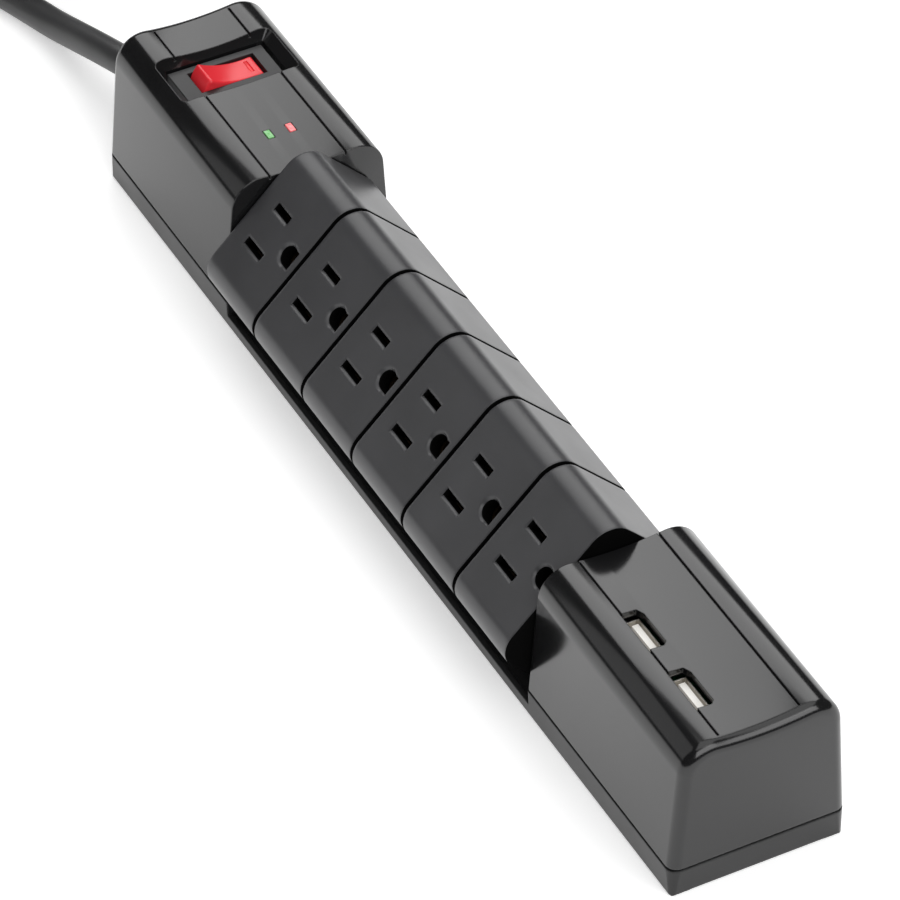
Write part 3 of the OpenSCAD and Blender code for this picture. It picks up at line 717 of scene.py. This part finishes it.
def cover_hollow(side):
    """Room inside a cover and the screw bosses that stand in it."""
    ends = (INNER_X + WALL, END_X - WALL)
    room = cutter([cover_ring(side * x, WALL, PARTING_Z - OVERCUT) for x in ends])
    bosses = [
        post(side * x, s * SCREW_Y, PARTING_Z - 2 * OVERCUT, BODY_H, BOSS_R)
        for x in (INNER_X + SCREW_FROM_INNER, END_X - SCREW_IN)
        for s in (-1, 1)
    ]
    return room, bosses


def grooves(side):
    """The two grooves along a cover's roof."""
    x0, x1 = sorted((side * (INNER_X - OVERCUT), side * (END_X - END_R)))
    z0, z1 = BODY_H - DIP - GROOVE_D, BODY_H + OVERCUT
    return [
        block((x0, s * GROOVE_Y - GROOVE_W / 2, z0), (x1, s * GROOVE_Y + GROOVE_W / 2, z1))
        for s in (-1, 1)
    ]


def port_pockets():
    """Openings over the two ports, each with one corner cut off."""
    l, w, cut = POCKET_L / 2, POCKET_W / 2, POCKET_CUT / 2
    corners = ((-l, -w), (l, -w), (l, w - cut), (l - cut, w), (-l + 2 * cut, w), (-l, w - cut))
    heights = (THROUGH_Z, BODY_H + OVERCUT)
    return [
        cutter([[(x + a, POCKET_Y + b, z) for a, b in corners] for z in heights]) for x in PORT_XS
    ]


def spigot():
    """Tube at the inner end of the far cover, which the last outlet turns on."""
    x0, x1, cut = INNER_X - SPIGOT_L, INNER_X + 0.2, 0.3
    profile = [(x0, BORE_R), (x0, HUB_R - cut), (x0 + cut, HUB_R), (x1, HUB_R), (x1, BORE_R)]
    bm = bmesh.new()
    rows = [
        [bm.verts.new(Vector((x, a * r, AXIS_Z + b * r)) * MM) for a, b in circle(1)]
        for x, r in profile
    ]
    bridge(bm, rows + rows[:1])
    return bm


def make_usb_cover():
    piece = cover_body("usb_housing", 1)
    room, solids = cover_hollow(1)
    solids += [post(sum(PORT_XS) / 2, y, PORT_POST_Z, BODY_H, PORT_POST_R) for y in PORT_POST_YS]
    carve(room, solids, COVER_SHARP)
    bore = bar(INNER_X - OVERCUT, INNER_X + WALL + OVERCUT, 0, AXIS_Z, BORE_R)
    carve(piece, [room, *grooves(1), *port_pockets(), bore], COVER_SHARP)
    add_solid(piece, spigot(), COVER_SHARP)
    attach(piece, "housing")
    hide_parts("usb_cover")


def switch_recess():
    """Cutters of the recess: a pocket with leaning sides, and openings for the plate and switch."""
    top_l, top_w = RECESS_LEN / 2, RECESS_W / 2
    floor_l, floor_w = top_l - RECESS_SLOPE, top_w - RECESS_SIDE
    # Half length, half width and corner radius at each height
    levels = [
        (RECESS_Z, floor_l, floor_w, 0.3),
        (BODY_H - 1.2, top_l - 0.5, top_w - 1.2, 1.8),
        (BODY_H, top_l, top_w, 2.6),
        (BODY_H + 2, top_l + 0.2, top_w + 0.2, 2.6),
    ]
    pocket = cutter([[(SWITCH_X + a, b, z) for a, b in rounded(l, w, r)] for z, l, w, r in levels])
    plate = block(
        (SWITCH_X - floor_l, -floor_w, RECESS_Z - LEDGE_T),
        (SWITCH_X + floor_l, floor_w, RECESS_Z + 0.01),
    )
    body_l, body_w = 6.6, 12.05
    body = block(
        (SWITCH_X - body_l, -body_w, RECESS_Z - 3 * LEDGE_T),
        (SWITCH_X + body_l, body_w, RECESS_Z - LEDGE_T / 2),
    )
    return [pocket, plate, body]


def make_switch_cover():
    piece = cover_body("switch_housing", -1)
    room, solids = cover_hollow(-1)
    well_l, well_w = RECESS_LEN / 2 + WELL_WALL, RECESS_W / 2 + 1
    well = block(
        (SWITCH_X - well_l, -well_w, RECESS_Z - LEDGE_T - WELL_WALL),
        (SWITCH_X + well_l, well_w, BODY_H + OVERCUT),
    )
    carve(room, [*solids, well], COVER_SHARP)
    windows = [
        block(
            (LENS_X - WINDOW_HALF_L, s * LENS_Y - WINDOW_HALF_W, THROUGH_Z),
            (LENS_X + WINDOW_HALF_L, s * LENS_Y + WINDOW_HALF_W, BODY_H + OVERCUT),
        )
        for s in (-1, 1)
    ]
    socket = bar(-INNER_X - WALL - OVERCUT, -INNER_X + OVERCUT, 0, AXIS_Z, HUB_R + HUB_FIT)
    exit_y, exit_z = EXIT_MM[1:]
    cord_hole = bar(-END_X - OVERCUT, -END_X + WALL + OVERCUT, exit_y, exit_z, CORD_HOLE_R)
    tools = [room, *grooves(-1), *switch_recess(), *windows, socket, cord_hole]
    carve(piece, tools, COVER_SHARP)
    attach(piece, "housing")
    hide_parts("switch_cover")


make_usb_cover()
make_switch_cover()

# ---------------------------------------- rocker, with rounded edges and the mark of its on side

DISH_R = 24.62  # of the hollow in its top
DISH_Z = DISH_R + PIVOT_DROP
ROCKER_EDGE = 0.8
ROCKER_SHARP = 35
ROCKER_PIVOT = Vector((SWITCH_X, 0, RECESS_Z - PIVOT_DROP)) * MM
MARK_X, MARK_Y, MARK_Z = (-2.9, 2.1), (5.6, 6.6), 4.2  # the groove that the mark's bar lies in
MARK_GAP_X, MARK_GAP_Y, MARK_TOP = 0.3, 0.2, 4.75


def rocker_ring(x, inset):
    """Side view of the rocker, level, with its pivot at the origin, drawn inward by inset."""
    reach = ROCKER_R - ROCKER_EDGE
    dish = DISH_R + ROCKER_EDGE
    corner_z = (reach**2 + DISH_Z**2 - dish**2) / (2 * DISH_Z)
    corner = Vector((math.sqrt(reach**2 - corner_z**2), corner_z))
    start = math.atan2(corner.y, corner.x)
    end = math.atan2(DISH_Z - corner.y, -corner.x)
    side_steps, corner_steps, dish_steps = 10, 8, 12
    r = ROCKER_R - inset
    low = math.asin(-ROCKER_LOW / r)
    half = []
    for i in range(side_steps + 1):
        a = low + (start - low) * i / side_steps
        half.append((r * math.cos(a), r * math.sin(a)))
    r = ROCKER_EDGE - inset
    for i in range(1, corner_steps + 1):
        a = start + (end - start) * i / corner_steps
        half.append((corner.x + r * math.cos(a), corner.y + r * math.sin(a)))
    r = DISH_R + inset
    sweep = math.asin(corner.x / dish)
    for i in range(1, dish_steps + 1):
        a = sweep * (1 - i / dish_steps)
        half.append((r * math.sin(a), DISH_Z - r * math.cos(a)))
    half += [(-y, z) for y, z in reversed(half[:-1])]
    return [Vector((x, y, z)) * MM for y, z in half]


def make_rocker():
    # A trace of the corners' radius stays in the outermost rings, which keeps their points apart
    rim = [(ROCKER_HALF_L - back, 0.999 * inset) for back, inset in quarter_round(ROCKER_EDGE, 6)]
    rings = [rocker_ring(-x, inset) for x, inset in reversed(rim)]
    rings += [rocker_ring(x, inset) for x, inset in rim]
    bm = bmesh.new()
    loft(bm, rings)
    piece = mesh_object("rocker_paddle", bm, RED)
    (x0, x1), (y0, y1) = MARK_X, MARK_Y
    carve(piece, [block((x0, y0, MARK_Z), (x1, y1, ROCKER_R))], ROCKER_SHARP)
    mark = block(
        (x0 + MARK_GAP_X, y0 + MARK_GAP_Y, MARK_Z - 0.2),
        (x1 - MARK_GAP_X, y1 - MARK_GAP_Y, MARK_TOP),
    )
    mark.name = "rocker_mark"
    mark.data.materials[0] = RED_MARK
    pins = bmesh.new()
    ends = (-PIN_HALF_L, PIN_HALF_L)
    loft(pins, [[Vector((x, a, b)) * MM for a, b in circle(PIN_R, 24)] for x in ends])
    add_solid(piece, pins, ROCKER_SHARP)
    place = Matrix.Translation(ROCKER_PIVOT) @ Matrix.Rotation(-ROCKER_TILT, 4, "X")
    for part in (piece, mark):
        part.data.transform(place)
        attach(part, "rocker")
    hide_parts("rocker")


make_rocker()

# ---------------------------------------- cord with its boot, strap and plug

cord = make_cord()
cord.data.materials.append(CORD)


def make_relief():
    """Tapered boot with rings cut round it, along the cord's first stretch."""
    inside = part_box("strain_relief")[1].x - EXIT.x
    tip = Vector(ROUTE_MM[0]) * MM
    length = (tip - EXIT).length
    along = (tip - EXIT).normalized()
    side = along.cross(Vector((0, 0, 1))).normalized()
    up = side.cross(along)
    neck_r, collar_r, root_r = 6 * MM, 7.4 * MM, 6.6 * MM
    narrowing = 1.6 * MM
    ring_count, ring_depth = 6, 0.75 * MM
    rings_from, rings_share = 0.22, 0.68

    def radius(t):
        """Radius at a share t of the length: a taper with rounded grooves in its middle."""
        r = root_r - narrowing * t
        turn = (t - rings_from) / rings_share
        if 0 < turn < 1:
            r -= ring_depth * ripple(ring_count, turn) ** 2
        return r

    stations = [(-inside, neck_r), (-2 * MM, neck_r), (-0.4 * MM, neck_r)]
    stations += [(0.4 * MM, collar_r), (1.8 * MM, collar_r)]
    stations += [(length * t, radius(t)) for t in (0.1 + 0.9 * i / 90 for i in range(91))]
    stations += [(length + 0.6 * MM, CORD_D / 2 + 0.2 * MM)]
    bm = bmesh.new()
    loft(
        bm,
        [
            [EXIT + along * distance + a * side + b * up for a, b in circle(r, 40)]
            for distance, r in stations
        ],
    )
    piece = mesh_object("boot", bm, RUBBER)
    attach(piece, "housing")
    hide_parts("strain_relief")
    return piece


def make_tie():
    """Coarse strap round the hank, drawn over the tail."""
    half_w, half_t = 4 * MM, 0.35 * MM
    r = CORD_D / 2 + 0.4 * MM
    top = FIRST_Z + (LAYERS - 1) * LAYER_H
    corners = [
        (HANK_Y - HANK_R, FIRST_Z + 0.1 * MM),
        (HANK_Y + HANK_R, FIRST_Z + 0.1 * MM),
        (HANK_Y + HANK_R, top),
        (HANK_Y - HANK_R, TAIL_MM[1][2] * MM),
    ]
    slope = math.atan2(corners[3][1] - corners[2][1], corners[2][0] - corners[3][0])
    turns = [-math.pi, -math.pi / 2, 0, math.pi / 2 - slope, math.pi]
    corner_steps = 8
    path = []
    for (y, z), start, end in zip(corners, turns, turns[1:]):
        for i in range(corner_steps + 1):
            a = start + (end - start) * i / corner_steps
            path.append((y + r * math.cos(a), max(z + r * math.sin(a), half_t)))
    bm = bmesh.new()
    rows = []
    for i, (y, z) in enumerate(path):
        y0, z0 = path[i - 1]
        y1, z1 = path[(i + 1) % len(path)]
        normal = Vector((0, z1 - z0, y0 - y1)).normalized()
        centre = Vector((TIE_X, y, z))
        row = []
        for w, t in ((-1, -1), (-1, 1), (1, 1), (1, -1)):
            row.append(bm.verts.new(centre + Vector((w * half_w, 0, 0)) + normal * t * half_t))
        rows.append(row)
    bridge(bm, rows + rows[:1])
    piece = mesh_object("tie", bm, TIE)
    add_bevel(piece, 0.2 * MM, 2, 40)
    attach(piece, "housing")
    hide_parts("cord_tie")
    return piece


def plug_section(t, width, height):
    """Width, height and squareness of the plug at a share t of its length."""
    neck_share, neck_d, neck_end_d = 0.3, CORD_D + 2.4 * MM, CORD_D + 6.4 * MM
    if t < neck_share:
        k = t / neck_share
        rings = ripple(4, k) * (1 - smooth_step((k - 0.85) / 0.15))
        d = neck_d + (neck_end_d - neck_d) * k - 1.1 * MM * rings
        return d, d, 2
    k = (t - neck_share) / (1 - neck_share)
    swell = smooth_step(k / 0.3)
    grip_from, grip_to = 0.3, 0.75
    grip = 0
    if grip_from < k < grip_to:
        grip = ripple(6, (k - grip_from) / (grip_to - grip_from))
    w = neck_end_d + (width - neck_end_d) * swell - 1.2 * MM * grip
    h = neck_end_d + (height - neck_end_d) * swell
    return w, h, 2 + 2.4 * swell


def make_plug():
    """Moulded plug: a ringed neck that swells into a squared body with ridges on both sides."""
    low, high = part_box("plug_body")
    y, z = (low.y + high.y) / 2, (low.z + high.z) / 2
    width, height, length = high.y - low.y, high.z - low.z, high.x - low.x
    steps = 80
    rings = []
    for i in range(steps + 1):
        t = i / steps
        outline = oval(*plug_section(t, width, height))
        rings.append([Vector((high.x - length * t, y + a, z + b)) for a, b in outline])
    bm = bmesh.new()
    loft(bm, rings)
    piece = mesh_object("plug", bm, RUBBER)
    add_bevel(piece, 0.9 * MM, 3, 60)
    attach(piece, "housing")
    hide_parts("plug_body")
    return piece


relief = make_relief()
tie = make_tie()
plug = make_plug()
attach(cord, "housing")
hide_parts("cord_run", "cord_hank", "cord_tail")

# ---------------------------------------- floor and light


def make_floor():
    """Pale paper that glows a little, so that it renders white round the strip."""
    n = Nodes(bpy.data.materials.new("floor_paper"))
    shade = n.tint(n.span(n.noise(0.6, 2), 0, 1), (0.90, 0.90, 0.90), (0.93, 0.93, 0.93))
    n.join(shade, n.shader.inputs["Base Color"])
    n.join(n.span(n.noise(0.01, 2), 0.85, 0.95), n.shader.inputs["Roughness"])
    n.join(n.bump(n.noise(0.002, 2), 0.01 * MM), n.shader.inputs["Normal"])
    n.shader.inputs["Specular IOR Level"].default_value = 0.2
    n.shader.inputs["Emission Color"].default_value = (1, 1, 1, 1)
    n.shader.inputs["Emission Strength"].default_value = 0.46
    bm = bmesh.new()
    bmesh.ops.create_grid(bm, x_segments=8, y_segments=8, size=12)
    mesh_object("floor", bm, n.material)


def softbox(name, azimuth, elevation, distance, width, height, radiance):
    """Rectangle of even light that faces the strip. Azimuth is from +X towards +Y, in degrees."""
    data = bpy.data.lights.new(name, "AREA")
    data.shape = "RECTANGLE"
    data.size = width
    data.size_y = height
    data.energy = radiance * math.pi * width * height
    light = bpy.data.objects.new(name, data)
    bpy.context.scene.collection.objects.link(light)
    light.visible_camera = False
    a, e = math.radians(azimuth), math.radians(elevation)
    direction = Vector((math.cos(a) * math.cos(e), math.sin(a) * math.cos(e), math.sin(e)))
    light.location = direction * distance
    light.rotation_euler = direction.to_track_quat("Z", "Y").to_euler()


make_floor()
softbox("light_back", 152, 42, distance=2.6, width=2.6, height=1.4, radiance=2.5)
softbox("light_top", 60, 84, distance=2.2, width=2.2, height=2.2, radiance=1.2)
softbox("light_end", 3, 42, distance=2.6, width=3, height=1.7, radiance=2.8)
# A small reflector close by, seen in the outlets' faces and the near shoulder of the far cover
softbox("light_fill", 240.5, 33.8, distance=0.575, width=0.35, height=0.46, radiance=0.56)

world = bpy.data.worlds.new("world")
bpy.context.scene.world = world
world.use_nodes = True
world.node_tree.nodes["Background"].inputs["Color"].default_value = (0.025, 0.025, 0.025, 1)
bpy.context.scene.view_settings.view_transform = "Standard"
